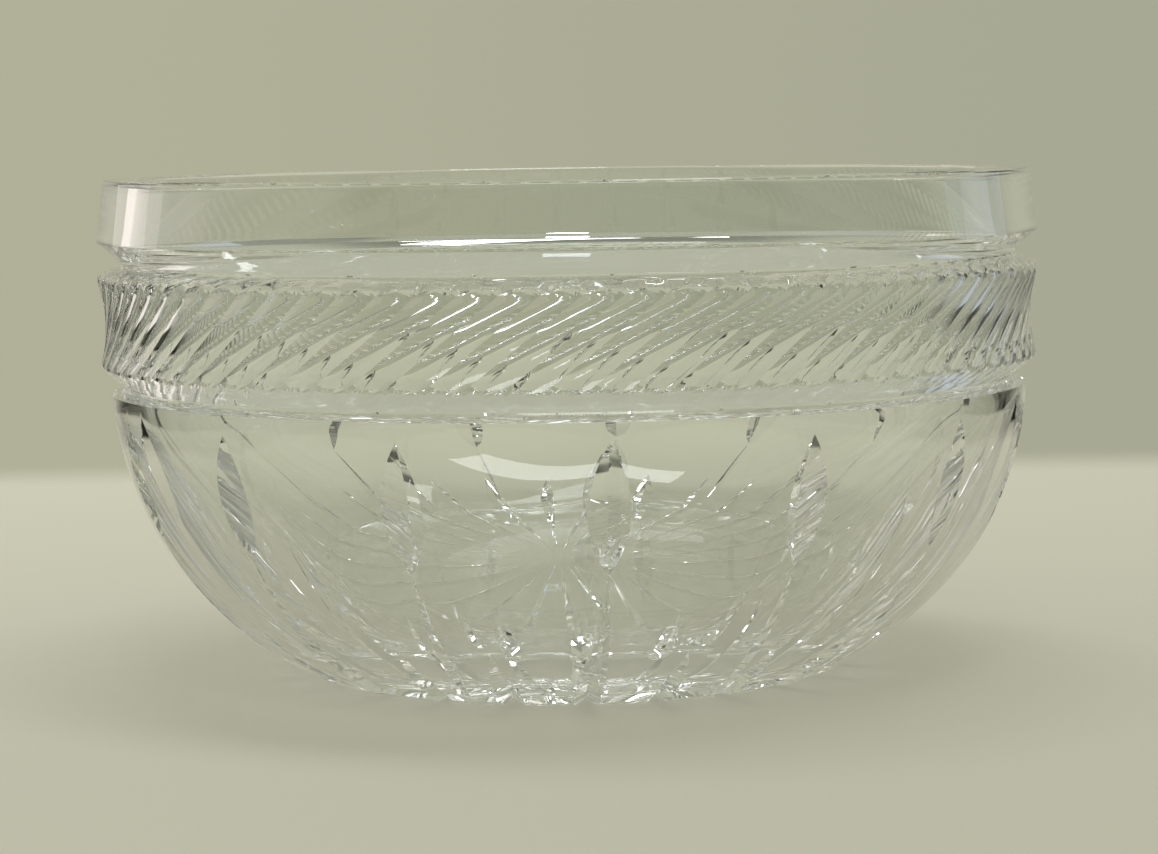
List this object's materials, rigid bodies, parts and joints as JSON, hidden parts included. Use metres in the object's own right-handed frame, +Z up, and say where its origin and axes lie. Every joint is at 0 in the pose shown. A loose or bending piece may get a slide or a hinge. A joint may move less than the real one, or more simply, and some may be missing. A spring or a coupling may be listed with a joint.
{
  "type": "crystal bowl",
  "caption": "Round cut-crystal serving bowl with a plain upright rim, a slanting fluted band, arched panels round the body and a star-cut base.",
  "frame": {"origin": "middle of the flat underside, on the surface that the bowl stands on", "axes": "+Z up through the middle of the bowl, -Y towards the front that the picture shows, +X to the right"},
  "size_m": [0.2032, 0.2032, 0.1072],
  "materials": {
    "crystal": "clear polished lead crystal"
  },
  "bodies": {
    "root": {"bowl": "crystal"}
  },
  "joints": []
}
